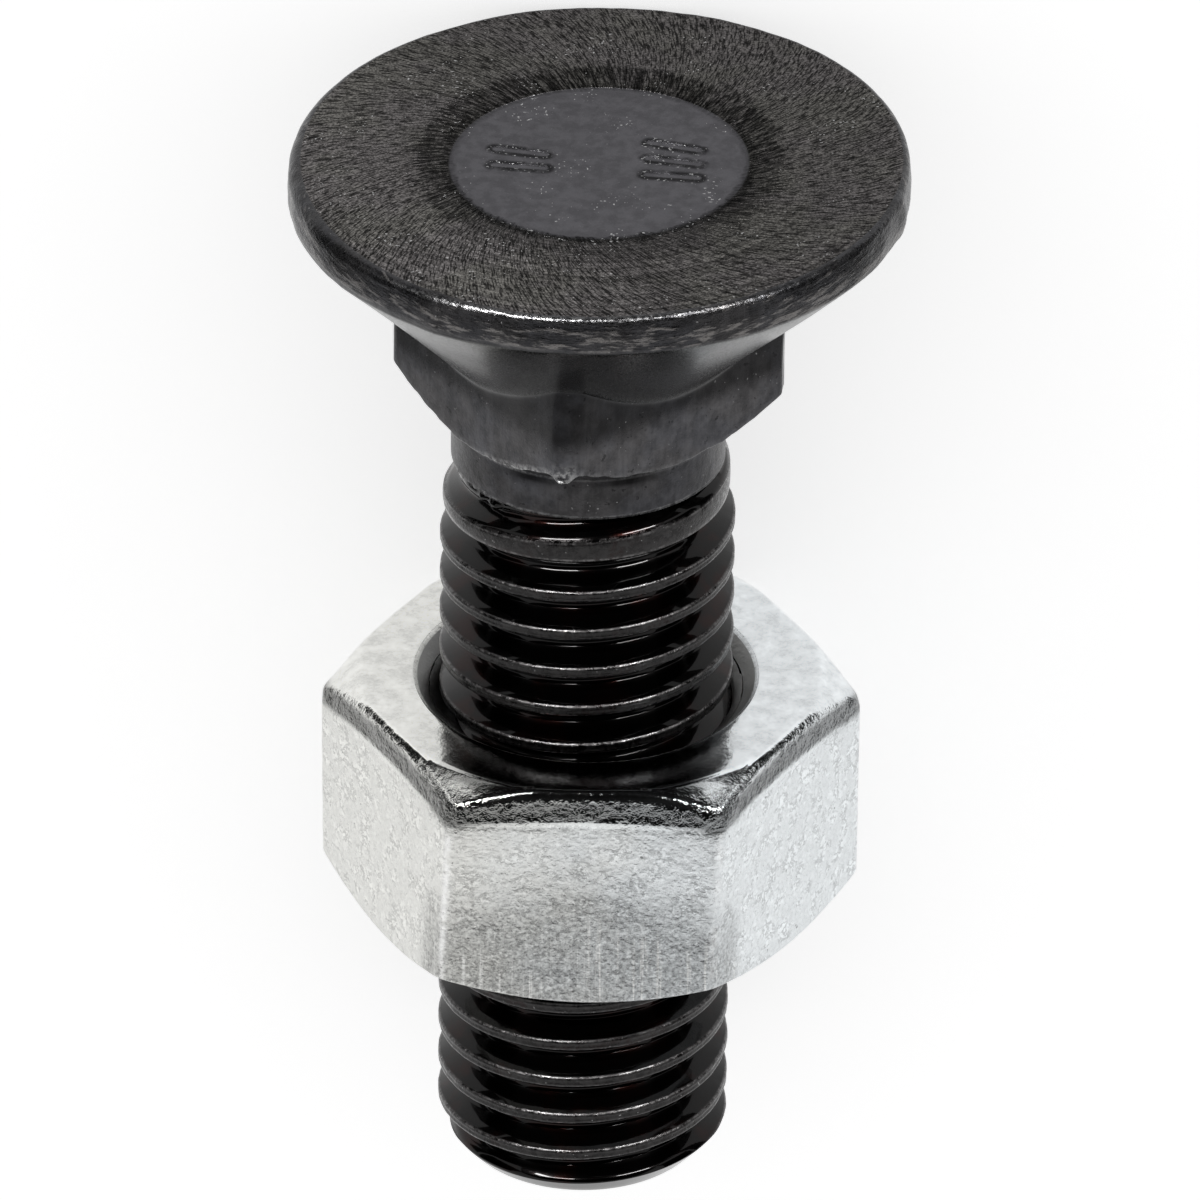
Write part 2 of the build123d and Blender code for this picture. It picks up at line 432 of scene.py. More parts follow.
def hex_radius(angle):
    """Distance from the axis to the hexagon in each column, its upright corners rounded."""
    from_corner = np.radians(from_nut_corner(angle))
    flat = NUT_HALF / np.cos(math.pi / 6 - np.abs(from_corner))
    centre = (NUT_HALF - NUT_CORNER_R) / math.cos(math.pi / 6)
    chord = np.maximum(NUT_CORNER_R ** 2 - (centre * np.sin(from_corner)) ** 2, 0)
    corner = centre * np.cos(from_corner) + np.sqrt(chord)
    tangent = math.atan2(NUT_CORNER_R / 2, centre + NUT_CORNER_R * math.cos(math.pi / 6))
    return np.where(np.abs(from_corner) < tangent, corner, flat)


def shoulder_reach(outer):
    """How far the rounding under the seat runs down the hexagon: furthest in mid flat."""
    to_corner = (outer - NUT_HALF) / (NUT_HALF * (2 / math.sqrt(3) - 1))
    return SHOULDER_REACH - SHOULDER_LESS * to_corner


def nut_thread(offset, station):
    """The nut's thread: the bolt's form, moved out by the gap and cut off at the minor diameter."""
    radius = np.minimum(sharp_thread(offset) + NUT_THREAD_GAP, CREST_R + NUT_THREAD_GAP + 0.05)
    mouth = NUT_MOUTH_R - np.minimum(station - NUT_START, NUT_END - station)
    return np.maximum(np.maximum(radius, NUT_MINOR_R), mouth), station, 0.0


def nut_skin():
    """The nut as one loop of rings: seat face, chamfer, flats, back face, countersinks, thread."""
    skin = Skin(focused(NUT_COLUMNS, 6, NUT_CORNER_TURN, 0.6))
    outer = hex_radius(skin.angles)
    top, bottom = NUT_START, NUT_END
    thread_top, thread_bottom = top + NUT_SINK, bottom - NUT_SINK
    mouth_r = NUT_MOUTH_R - (thread_top - top)
    first = skin.ring(mouth_r, thread_top)
    skin.line((NUT_MOUTH_R - NUT_LIP, top + NUT_LIP), 3, NUT_THREAD_KIND)
    skin.bend((NUT_MOUTH_R, top), (NUT_MOUTH_R + 0.1, top), 4, PLATED_KIND)
    rounding = outer - 0.45
    fold = np.minimum(NUT_SEAT_R, rounding - 0.3)
    skin.line((fold - 0.12, top), 9, PLATED_KIND)
    cone = (fold + 0.12, top + np.maximum(fold + 0.12 - NUT_SEAT_R, 0) * NUT_CHAMFER)
    skin.bend((fold, top), cone, 4, PLATED_KIND)
    skin.line((rounding, top + np.maximum(rounding - NUT_SEAT_R, 0) * NUT_CHAMFER), 5, PLATED_KIND)
    shoulder = top + (outer - NUT_SEAT_R) * NUT_CHAMFER
    skin.bend((outer, shoulder), (outer, shoulder + shoulder_reach(outer)), 12, PLATED_KIND)

    heel = bottom - (outer - NUT_BACK_R) * NUT_CHAMFER
    skin.line((outer, heel - 0.12), 32, PLATED_KIND)
    skin.bend((outer, heel), (outer - 0.1, heel + 0.06), 4, PLATED_KIND)
    skin.line((NUT_BACK_R + 0.08, bottom - 0.05), 5, PLATED_KIND)
    skin.bend((NUT_BACK_R, bottom), (NUT_BACK_R - 0.1, bottom), 3, PLATED_KIND)
    skin.line((NUT_MOUTH_R + 0.15, bottom), 9, PLATED_KIND)
    skin.bend((NUT_MOUTH_R, bottom), (NUT_MOUTH_R - NUT_LIP, bottom - NUT_LIP), 4, PLATED_KIND)
    skin.line((mouth_r, thread_bottom), 3, NUT_THREAD_KIND)
    steps = thread_steps()
    skin.helix(skin.last, first, thread_bottom, thread_top, steps, nut_thread, NUT_THREAD_KIND)
    return skin


# ---- small unevenness of the metal ----
def cylindrical(points):
    """Distance from the axis, direction in radians and station of each point."""
    x, y, station = points.T
    return np.hypot(x, y), np.arctan2(y, x), station


def weather_bolt(points, normals):
    """Forging unevenness, nicks and burrs, and the head's lean; wear with a painted highlight, and
    painted shade.
    """
    radius, angle, station = cylindrical(points)
    push = np.zeros(len(points))
    face = (station < 0.2) & (radius < HEAD_R - 0.6)
    forged = (1 - smooth(station, 11.0, 12.5)) * ~face
    push += forged * (0.02 * rough(points, 3.0, 1) + 0.008 * rough(points, 1.1, 2))
    rim = bell(station, 0.9, 0.9) * (radius > HEAD_R - 0.6)
    push += rim * (0.03 * rough(points, 0.9, 3) + 0.025 * rough(points, 0.4, 4))
    for direction, depth, width in ((-168, 0.12, 3.0), (-60, 0.08, 2.0), (-107, 0.08, 1.2)):
        push -= depth * rim * towards(angle, direction, width)
    chamfer = chamfer_station(angle, neck_radius(angle))
    nib = nib_share(angle) * bell(station, chamfer - 0.2, 0.4)
    push += nib * (0.12 + 0.12 * rough(points, 0.25, 8)) * (radius > NECK_HALF)
    burr = towards(angle, -40, 14) * bell(station, 13.35, 0.35)
    push += burr * 0.28 * rough(points, 0.3, 5)
    crest = smooth(radius, CREST_R - 0.2, CREST_R) * (station > COLLAR_END)
    push += crest * (0.012 * rough(points, 0.9, 6) + 0.012 * rough(points, 0.35, 7))
    moved = points + normals * push[:, None]
    lean = 1 - smooth(station, 1.8, 8.0)
    across, back = moved[:, 0].copy(), moved[:, 1].copy()
    moved[:, 2] += lean * (across * HEAD_TILT_ACROSS - back * HEAD_TILT_BACK)
    moved[:, 0] -= lean * (HEAD_OFFSET + station * HEAD_TILT_ACROSS)
    moved[:, 1] += lean * station * HEAD_TILT_BACK

    rim_edge = bell(np.hypot(radius - HEAD_R + 0.08, station - 0.08), 0, 0.1)
    # bright wear on the rim's edge all round, much stronger in front, where the extra is a painted
    # highlight
    rim_edge = rim_edge * (0.1 + 0.7 * towards(angle, -80, 22))
    neck_edge = bell(station, chamfer, 0.1) * (radius > NECK_HALF - 0.1) * (station > 9)
    neck_edge += 0.8 * bell(station, COLLAR_START - 0.04, 0.08) * (radius < COLLAR_R + 0.5)
    neck_edge = neck_edge * (0.12 + 0.88 * towards(angle, -64, 18))
    collar_edge = bell(station, COLLAR_END - 0.03, 0.06) * (radius > COLLAR_R - 0.05)
    # painted shadow on the collar just under the overhanging edge of the neck's flats, either side
    # of the nib
    shade_under_edge = bell(station, COLLAR_START + 0.22, 0.2) * (radius < COLLAR_R + 0.1)
    from_front = turn_from(angle, -90)
    gap = np.maximum(bell(from_front, 22, 12), bell(from_front, -18, 15))
    # painted shade along the rim's lower edge, where it turns into the countersink
    shade_lower_rim = bell(station, HEAD_LAND + 0.1, 0.14) * (radius > HEAD_R - 0.5)
    wear_and_highlight = rim_edge + neck_edge + 0.6 * collar_edge + 0.6 * nib
    # the dark returned here is painted shade
    return moved, wear_and_highlight, np.clip(shade_under_edge * gap + 0.8 * shade_lower_rim, 0, 1)


def weather_nut(points, normals):
    """A hexagon a little off its bore, twisted and dented; its polished top and bright corners.

    The wear is below zero where the forging die left the metal smooth, and above on the corners;
    the dark is for a painted dark reflection.
    """
    radius, angle, station = cylindrical(points)
    outside = smooth(radius, 6.9, 7.6)
    push = outside * (0.02 * rough(points, 3.5, 21) + 0.008 * rough(points, 1.0, 22))
    outer = hex_radius(angle)
    shoulder = NUT_START + (outer - NUT_SEAT_R) * NUT_CHAMFER
    reach = shoulder_reach(outer)
    # a dented band under the seat, also returned as the dark for a painted dark reflection
    band = bell(station, shoulder + 0.4 * reach, 0.5) * smooth(radius, 8.6, 9.1)
    push += band * (0.035 * rough(points, 0.9, 23) + 0.04 * rough(points, 0.4, 24))
    moved = points + normals * push[:, None]
    twist = outside * NUT_TWIST * (station - NUT_START - NUT_HEIGHT / 2)
    across, back = moved[:, 0].copy(), moved[:, 1].copy()
    moved[:, 0] = across * np.cos(twist) - back * np.sin(twist) - outside * NUT_OFFSET
    moved[:, 1] = across * np.sin(twist) + back * np.cos(twist)

    low_edge = shoulder + 0.75 * reach + 0.12 * rough(points, 0.35, 25)
    polished = (1 - smooth(station, low_edge - 0.1, low_edge + 0.12)) * (radius > NUT_MOUTH_R)
    # bright corners from wear; the front left corner is brightened most, which is a painted
    # highlight
    foremost = 0.25 + 0.75 * towards(angle, NUT_CORNER_TURN, 20)
    corner = bell(from_nut_corner(angle), 0, 0.9) * outside * foremost
    corner = corner * (1 - polished) * smooth(NUT_END - station, 0.4, 1.2)
    return moved, np.where(polished > 0.5, -polished, corner), band


# ---- objects ----
def placed(name, data, matrix=Matrix()):
    """A new object of the scene."""
    made = bpy.data.objects.new(name, data)
    made.matrix_world = matrix
    bpy.context.scene.collection.objects.link(made)
    return made


def piece(name, skin, weather, materials, body, node):
    """Writes a skin as a mesh object and rides it on its body."""
    points, marks = skin.arrays()
    points, wear, dark = weather(points, normals_of(points, skin.faces))
    wear = np.clip(wear + marks, -1, 1)
    mesh = bpy.data.meshes.new(name)
    turned = points @ np.array(LOCAL).T
    mesh.from_pydata((turned * MM + np.array(ORIGIN)).tolist(), [], skin.faces)
    mesh.polygons.foreach_set("material_index", skin.kinds)
    mesh.polygons.foreach_set("use_smooth", [True] * len(skin.faces))
    for material in materials:
        mesh.materials.append(material)
    mesh.attributes.new("wear", "FLOAT", "POINT").data.foreach_set("value", wear)
    mesh.attributes.new("dark", "FLOAT", "POINT").data.foreach_set("value", dark)
    mesh.update()
    made = placed(name, mesh)
    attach(made, body)
    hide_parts(node)


# ---- materials ----
def new_node(tree, kind, values=(), operation=None):
    """A new node, its first inputs set to numbers or colours or linked to sockets."""
    made = tree.nodes.new("ShaderNode" + kind)
    if operation:
        made.operation = operation
    for socket, value in zip(made.inputs, values):
        put(tree, socket, value)
    return made


def put(tree, socket, value):
    """Sets a socket to a number or a colour, or links it to another socket."""
    if isinstance(value, bpy.types.NodeSocket):
        tree.links.new(value, socket)
    else:
        socket.default_value = value


class Paint:
    """A material's node graph, built by short calls that take and return sockets or numbers.

    at is the place on the piece in millimetres, in the bolt's own frame moved by offset.
    """

    def __init__(self, name, offset=(0.0, 0.0, 0.0)):
        self.material = bpy.data.materials.new(name)
        self.material.use_nodes = True
        self.tree = self.material.node_tree
        self.tree.nodes.clear()
        self.shader = self.node("BsdfPrincipled")
        self.node("OutputMaterial", self.shader.outputs[0])
        local = self.node("Mapping", self.node("TexCoord").outputs["Object"])
        local.vector_type = "TEXTURE"
        local.inputs["Location"].default_value = ORIGIN
        local.inputs["Rotation"].default_value = LOCAL.to_euler()
        local.inputs["Scale"].default_value = (MM, MM, MM)
        self.at = self.vector_math("ADD", local.outputs[0], offset)
        self.x, self.y, self.z = self.node("SeparateXYZ", self.at).outputs
        self.r = self.math("SQRT", self.add(self.times(self.x, self.x), self.times(self.y, self.y)))

    def node(self, kind, *values, operation=None):
        return new_node(self.tree, kind, values, operation)

    def put(self, name, value):
        """Sets or links an input of the shader."""
        put(self.tree, self.shader.inputs[name], value)

    def math(self, operation, *values):
        return self.node("Math", *values, operation=operation).outputs[0]

    def vector_math(self, operation, *values):
        return self.node("VectorMath", *values, operation=operation).outputs[0]

    def add(self, a, b):
        return self.math("ADD", a, b)

    def times(self, a, b):
        return self.math("MULTIPLY", a, b)

    def less(self, a, b):
        return self.math("SUBTRACT", a, b)

    def left(self, share):
        """What a share from 0 to 1 leaves of 1."""
        return self.less(1.0, share)

    def both(self, *shares):
        """The product of several shares from 0 to 1."""
        result = shares[0]
        for share in shares[1:]:
            result = self.times(result, share)
        return result

    def noise(self, at, detail=2.0, roughness=0.5, seed=0.0):
        """Noise from 0 to 1 with features one unit across; seed moves it to another place."""
        if seed:
            at = self.vector_math("ADD", at, (seed * 17.3, seed * 31.7, seed * 11.9))
        node = self.node("TexNoise", at)
        node.inputs["Scale"].default_value = 1
        node.inputs["Detail"].default_value = detail
        node.inputs["Roughness"].default_value = roughness
        return node.outputs[0]

    def stretched(self, x, y, z):
        """The place with each direction scaled: features are 1/x by 1/y by 1/z mm."""
        return self.vector_math("MULTIPLY", self.at, (x, y, z))

    def even(self, scale, detail=2.0, roughness=0.5, seed=0.0):
        """Noise with features 1/scale mm across in every direction."""
        return self.noise(self.stretched(scale, scale, scale), detail, roughness, seed)

    def polar(self, turns, radial, along, swirl=0.0):
        """A place for marks that run outwards or round the axis, without a seam.

        turns is features to a radian, radial to a millimetre out and along to one down the axis.
        swirl turns the marks by so many radians to a millimetre out.
        """
        outwards = self.times(self.r, radial)
        down = self.times(self.z, along)
        across = self.math("DIVIDE", self.x, self.r)
        back = self.math("DIVIDE", self.y, self.r)
        turn = self.times(self.r, swirl)
        cosine, sine = self.math("COSINE", turn), self.math("SINE", turn)
        x = self.less(self.times(across, cosine), self.times(back, sine))
        y = self.add(self.times(across, sine), self.times(back, cosine))
        x = self.add(self.times(x, turns), outwards)
        y = self.add(self.times(y, turns), down)
        return self.node("CombineXYZ", x, y, self.less(outwards, down)).outputs[0]

    def bars(self):
        """Distance to the nearest of the plain bars struck in the head, below zero inside one."""
        nearest = 10.0
        for group, count in ((3.1, 2), (-2.9, 3)):
            for row in range(count):
                middle = (row - (count - 1) / 2) * 1.15
                lean = math.radians(6 + 5 * row)
                x = self.less(self.x, group)
                y = self.less(self.y, middle + 0.2)
                along = self.add(self.times(x, math.cos(lean)), self.times(y, math.sin(lean)))
                off = self.less(self.times(y, math.cos(lean)), self.times(x, math.sin(lean)))
                beyond = self.math("MAXIMUM", self.less(self.math("ABSOLUTE", along), 1.0), 0.0)
                length = self.add(self.times(beyond, beyond), self.times(off, off))
                distance = self.less(self.math("SQRT", length), 0.2)
                nearest = self.math("MINIMUM", nearest, distance)
        return nearest

    def between(self, value, low, high, start=0.0, end=1.0):
        """A smooth change from start where value is low to end where it is high.

        low may be above high.
        """
        node = self.node("MapRange", value, low, high, start, end)
        node.interpolation_type = "SMOOTHSTEP"
        return node.outputs["Result"]

    def mix(self, share, a, b):
        """Colour a, or b where share is 1."""
        node = self.node("Mix")
        node.data_type = "RGBA"
        put(self.tree, node.inputs["Factor"], share)
        for number, colour in ((6, a), (7, b)):
            colour = (*colour, 1) if isinstance(colour, tuple) else colour
            put(self.tree, node.inputs[number], colour)
        return node.outputs[2]

    def shade(self, colour, share):
        """A colour times a number."""
        node = self.node("VectorMath", colour, operation="SCALE")
        put(self.tree, node.inputs["Scale"], share)
        return node.outputs[0]

    def darken(self, colour, share):
        """A colour that has lost a share of its light."""
        return self.shade(colour, self.left(share))

    def held(self, name):
        """The wear or dark that the mesh holds at each point: the dark is painted shade, and some
        wear a painted highlight.
        """
        node = self.node("Attribute")
        node.attribute_name = name
        return node.outputs["Fac"]

    def bump(self, *heights):
        """Chains (height from 0 to 1, depth in mm) pairs into the shader's normal."""
        normal = None
        for height, depth in heights:
            node = self.node("Bump")
            node.inputs["Distance"].default_value = depth * MM
            put(self.tree, node.inputs["Height"], height)
            if normal is not None:
                self.tree.links.new(normal, node.inputs["Normal"])
            normal = node.outputs[0]
        self.put("Normal", normal)

    def finish(self, colour, roughness, coat=0.0):
        """The material: metal, under a film of oil where coat is above 0."""
        self.put("Base Color", colour)
        self.put("Roughness", roughness)
        self.put("Metallic", 1.0)
        self.put("Coat Weight", coat)
        self.put("Coat Roughness", 0.03)
        return self.material


def turned_face():
    """Head face: torn strokes from the lathe, a dark rough ring and a smooth sunk panel; painted
    light, shade and glints.
    """
    p = Paint("turned_black", (HEAD_OFFSET, 0.0, 0.0))
    panel = p.between(p.r, PANEL_R + 0.02, PANEL_R - 0.08)
    annulus = p.left(panel)
    strokes = p.noise(p.polar(125, 1.8, 0, 0.05), 2, 0.6)
    coarse = p.noise(p.polar(52, 1.1, 0, 0.05), 3, 0.65, seed=1)
    ragged = p.add(p.r, p.add(p.even(1.2), p.times(coarse, 1.6)))
    ring_end = PANEL_R + PANEL_RING
    ring = p.both(annulus, p.between(ragged, ring_end + 1.55, ring_end + 1.0))
    wander = p.node("CombineXYZ", p.times(p.r, 7.0), p.even(0.6), 0.0).outputs[0]
    rings = p.noise(wander, 3, 0.7)
    grain = p.even(11, 2, 0.6, seed=2)
    cloud = p.even(0.28, 3, 0.6, seed=3)
    front = p.between(p.y, -3.0, -6.8)
    # lighter towards +x and upwards: painted light
    tone = p.add(0.071, p.times(p.between(p.add(p.x, p.times(p.y, -0.5)), 1.0, 10.0), 0.022))
    tint = p.mix(p.between(cloud, 0.4, 0.62), (1.0, 0.94, 0.93), (1.0, 0.965, 0.90))
    marked = p.shade(tint, tone)
    marked = p.shade(marked, p.between(strokes, 0.38, 0.58, 0.22, 1.5))
    marked = p.shade(marked, p.between(grain, 0.32, 0.68, 0.4, 1.6))
    marked = p.shade(marked, p.add(1.0, p.both(front, p.between(rings, 0.36, 0.64, -0.4, 0.3))))
    # the ring's own dark rough finish, darkened more at the back and sides than in front: the
    # difference is painted shade
    depth = p.between(front, 0.0, 1.0, 0.72, 0.3)
    darkness = p.both(ring, depth, p.between(coarse, 0.6, 0.42, 0.3, 1.15))
    marked = p.darken(marked, darkness)
    # painted glints: small bright spots, in clusters
    cluster = p.between(p.even(0.6, 2, 0.5, seed=5), 0.46, 0.66, 0.0, 0.12)
    sparkle = p.even(8, 1, 0.5, seed=4)
    glint_specks = p.between(p.add(sparkle, cluster), 0.80, 0.82)

    mottle = p.even(1.8, 4, 0.6, seed=6)
    slate = p.shade(p.mix(cloud, (0.95, 0.93, 1.0), (1.0, 0.98, 1.06)), 0.096)
    slate = p.shade(slate, p.between(mottle, 0.35, 0.65, 0.85, 1.12))
    bars = p.bars()
    inside = p.between(bars, 0.05, -0.08)
    # painted shade along the edges of the struck bars
    border = p.both(p.between(bars, 0.3, 0.08), p.between(bars, -0.14, 0.0),
                    p.between(p.even(2, 3, 0.6, seed=7), 0.3, 0.55, 0.2, 1.0))
    slate = p.darken(slate, p.times(border, 0.75))
    colour = p.mix(panel, marked, slate)
    # painted shade in the step round the sunk panel, stronger in front
    wavy = p.add(p.r, p.between(mottle, 0.3, 0.7, -0.12, 0.12))
    panel_edge_shade = p.both(p.between(wavy, PANEL_R - 0.32, PANEL_R - 0.12),
                     p.between(wavy, PANEL_R + 0.42, PANEL_R + 0.2))
    weight = p.both(p.between(p.y, 1.0, -4.0, 0.45, 0.9), p.between(coarse, 0.4, 0.56, 1.0, 0.6))
    colour = p.darken(colour, p.both(panel_edge_shade, weight))
    # painted glints along the front of the panel's edge and on the bars' edges, mixed in with the
    # other bright spots
    lit = p.both(panel_edge_shade, p.between(p.y, -3.0, -5.5), p.between(sparkle, 0.66, 0.72))
    glitter = p.both(border, p.between(sparkle, 0.62, 0.7))
    colour = p.mix(p.math("MAXIMUM", p.times(glint_specks, 0.6), p.times(p.add(lit, glitter), 0.7)),
                   colour, (0.62, 0.62, 0.62))
    roughness = p.add(p.between(grain, 0.3, 0.7, 0.3, 0.40), p.times(annulus, 0.08))
    p.bump((p.both(strokes, annulus), 0.03), (p.both(coarse, ring), 0.06),
           (p.both(grain, annulus), 0.015), (p.both(rings, annulus), 0.012), (inside, -0.08),
           (p.both(mottle, panel), 0.02))
    p.put("Specular Tint", (0.55, 0.55, 0.55, 1))       # duller at a grazing angle
    return p.finish(colour, roughness)


def forged_skin():
    """Rim, countersink, neck and collar: oxide, burnished under the head and scuffed on the rim;
    painted shade, glints and highlight.
    """
    p = Paint("forged_black")
    grain = p.even(9, 3, 0.6)
    cloud = p.even(0.45, 4, 0.6, seed=1)
    mottle = p.noise(p.stretched(1.7, 1.7, 1.3), 4, 0.62, seed=2)
    drawn = p.noise(p.stretched(5, 5, 0.35), 2, 0.6, seed=3)
    cone = p.both(p.between(p.z, HEAD_LAND, HEAD_LAND + 0.3), p.between(p.z, 9.2, 8.2))
    rim = p.between(p.z, HEAD_LAND + 0.2, HEAD_LAND - 0.05)
    collar = p.between(p.z, COLLAR_START - 0.2, COLLAR_START + 0.2)
    # darker on the countersink under the head and on the collar under the neck: painted shade; the
    # rim a little darker too
    darker = p.add(p.times(cone, -0.051), p.times(collar, -0.022))
    tone = p.add(0.071, p.add(p.times(rim, -0.035), darker))
    base = p.shade(p.mix(p.between(cloud, 0.38, 0.62), (1.0, 0.97, 1.0), (0.98, 0.98, 1.06)), tone)
    base = p.shade(base, p.between(mottle, 0.3, 0.7, 0.72, 1.28))
    base = p.shade(base, p.between(drawn, 0.3, 0.7, 0.93, 1.07))
    pits = p.between(p.even(3.2, 3, 0.6, seed=4), 0.36, 0.3)
    base = p.darken(base, p.times(pits, 0.5))
    scuffs = p.noise(p.polar(11, 1.6, 2.6), 4, 0.7, seed=5)
    low = p.between(p.z, 0.3, HEAD_LAND - 0.3, 0.0, 0.1)
    scuffed = p.both(rim, p.between(p.add(scuffs, low), 0.58, 0.7))
    colour = p.mix(p.times(scuffed, 0.7), base, (0.2, 0.19, 0.185))
    # painted glints: small bright spots, in patches
    patches = p.between(p.even(0.5, 2, 0.5, seed=7), 0.45, 0.7, 0.0, 0.06)
    glint_specks = p.between(p.add(p.even(7, 1, 0.5, seed=6), patches), 0.79, 0.81)
    colour = p.mix(p.times(glint_specks, 0.3), colour, (0.5, 0.5, 0.5))
    # bright rubbed edges; on the rim's front edge the brightening is a painted highlight
    wear = p.both(p.held("wear"), p.between(p.even(5, 3, 0.7, seed=8), 0.38, 0.62))
    colour = p.mix(wear, colour, (0.45, 0.45, 0.45))
    # painted shade under the neck's edge and along the rim's lower edge
    colour = p.darken(colour, p.times(p.held("dark"), 0.95))
    polish = p.add(p.times(cone, 0.13), p.times(rim, 0.09))
    roughness = p.less(p.between(grain, 0.3, 0.7, 0.32, 0.42), polish)
    matt = p.left(p.times(cone, 0.85))
    p.bump((p.both(mottle, matt), 0.03), (p.both(rim, scuffs), 0.06), (p.both(grain, matt), 0.012))
    return p.finish(colour, roughness)


def oiled_thread():
    """Thread: near black under a film of oil, its crests scuffed grey with bright edges and painted
    glints.
    """
    p = Paint("oiled_black")
    grain = p.even(8, 3, 0.6)
    cloud = p.even(0.5, 3, 0.6, seed=1)
    base = p.mix(p.between(cloud, 0.5, 0.66), (0.004, 0.0036, 0.0036), (0.010, 0.0036, 0.003))
    over = p.less(p.r, p.between(p.z, 14.6, 15.6, COLLAR_R + 0.1, CREST_R - 0.14))
    crest = p.both(p.between(over, 0.0, 0.11),
                   p.between(p.even(3, 4, 0.75, seed=2), 0.38, 0.62, 0.3, 1.1))
    end = p.between(p.z, BOLT_LENGTH - END_CHAMFER + 0.3, BOLT_LENGTH - END_CHAMFER)
    colour = p.mix(p.both(crest, end), base, (0.028, 0.0265, 0.0265))
    broken = p.between(p.even(3.5, 3, 0.7, seed=3), 0.4, 0.62, 0.1, 1.0)
    colour = p.mix(p.both(p.held("wear"), broken), colour, (0.13, 0.125, 0.125))
    # painted glints on the crests
    glint_specks = p.between(p.even(7, 1, 0.5, seed=5), 0.74, 0.78)
    colour = p.mix(p.both(crest, glint_specks, 0.6), colour, (0.5, 0.5, 0.5))
    roughness = p.between(crest, 0.0, 1.0, 0.2, 0.4)
    scuffs = p.even(6, 3, 0.7, seed=4)
    p.bump((grain, 0.003), (p.both(crest, scuffs), 0.02))
    return p.finish(colour, roughness, coat=0.31)


def zinc_plate():
    """Bright zinc: smooth where the die formed the top, finely torn and creased on the flats;
    painted shade, highlights and dark reflections.
    """
    p = Paint("zinc_plate")
    fine = p.even(6, 3, 0.7)
    mottle = p.even(1.3, 4, 0.65, seed=1)
    cloud = p.even(0.22, 3, 0.6, seed=2)
    shear = p.noise(p.stretched(6, 6, 0.14), 2, 0.6, seed=3)
    folds = p.noise(p.stretched(2.2, 2.2, 2.6), 4, 0.7, seed=4)
    polished = p.math("MAXIMUM", p.times(p.held("wear"), -1.0), 0.0)
    bright = p.math("MAXIMUM", p.held("wear"), 0.0)
    flat = p.both(p.left(polished), p.between(p.r, NUT_HALF - 0.5, NUT_HALF - 0.1))
    upper = p.both(p.between(p.y, -7.5, -8.6), flat)
    aside = p.math("ABSOLUTE", p.x)
    edge = p.add(p.z, p.add(p.times(mottle, 3.0), p.times(aside, -0.3)))
    # the lower part of the upper flat: torn metal, also darkened there as painted shade
    torn = p.both(upper, p.between(edge, NUT_START + 3.9, NUT_START + 7.5))
    sheared = p.both(upper, p.between(edge, NUT_START + 6.2, NUT_START + 8.0))
    # painted shade on the flats towards the back face
    shade_to_back_face = p.both(flat, p.between(edge, NUT_START + 7.4, NUT_START + 9.9, 0.0, 0.35))
    # painted dark reflection on the front of the seat
    painted_dark_seat = p.both(p.between(p.y, -6.4, -7.2), p.between(aside, 6.0, 4.0),
                  p.between(p.z, NUT_START + 0.4, NUT_START + 0.15))
    crease = p.between(p.math("ABSOLUTE", p.less(folds, 0.5)), 0.07, 0.02)
    crease = p.both(crease, flat, p.between(mottle, 0.42, 0.6))

    tint = p.mix(p.between(p.add(p.x, p.times(cloud, 14.0)), 2.0, 12.0),
                 (0.80, 0.83, 0.845), (0.79, 0.79, 0.76))
    colour = p.shade(tint, p.between(mottle, 0.3, 0.7, 0.84, 1.08))
    colour = p.shade(colour, p.between(fine, 0.34, 0.66, p.add(0.96, p.times(torn, -0.4)), 1.1))
    colour = p.darken(colour, p.times(p.add(torn, shade_to_back_face), 0.2))
    lines = p.both(sheared, p.between(shear, 0.56, 0.68))
    colour = p.mix(p.times(lines, 0.6), colour, (0.88, 0.88, 0.86))
    colour = p.darken(colour, p.times(crease, 0.38))
    pit = p.between(p.even(4.5, 1, 0.5, seed=5), 0.24, 0.21)
    colour = p.darken(colour, p.both(pit, flat, 0.6))
    # bright corners from wear, the front left one brightest as a painted highlight
    colour = p.mix(p.both(bright, p.between(mottle, 0.35, 0.55)), colour, (0.93, 0.93, 0.92))
    band = p.held("dark")
    # painted dark reflection on the band under the seat, broken by the grain
    painted_dark_band = p.between(p.add(band, p.times(p.add(fine, mottle), 0.5)), 0.7, 1.25)
    colour = p.darken(colour, p.times(painted_dark_band, 0.7))
    colour = p.darken(colour, p.times(painted_dark_seat, 0.65))
    dents = p.even(3, 3, 0.65, seed=6)
    roughness = p.less(p.between(fine, 0.3, 0.7, 0.26, 0.34), p.times(polished, 0.19))
    matt = p.left(p.times(polished, 0.75))
    p.bump((p.both(mottle, matt), 0.03), (p.both(fine, p.add(torn, 0.4), matt), 0.035),
           (p.both(folds, flat), 0.05), (p.both(sheared, shear), 0.03), (p.both(band, dents), 0.16))
    return p.finish(colour, roughness)


def nut_bore():
    """The nut's thread: plated like the rest, but rougher and darker, darkest nearest the axis."""
    p = Paint("zinc_bore")
    grain = p.even(5, 4, 0.7)
    colour = p.mix(grain, (0.30, 0.30, 0.30), (0.5, 0.5, 0.49))
    colour = p.shade(colour, p.between(p.r, 5.4, 6.6, 0.35, 1.0))
    p.bump((grain, 0.02))
    return p.finish(colour, p.between(grain, 0.3, 0.7, 0.3, 0.45))


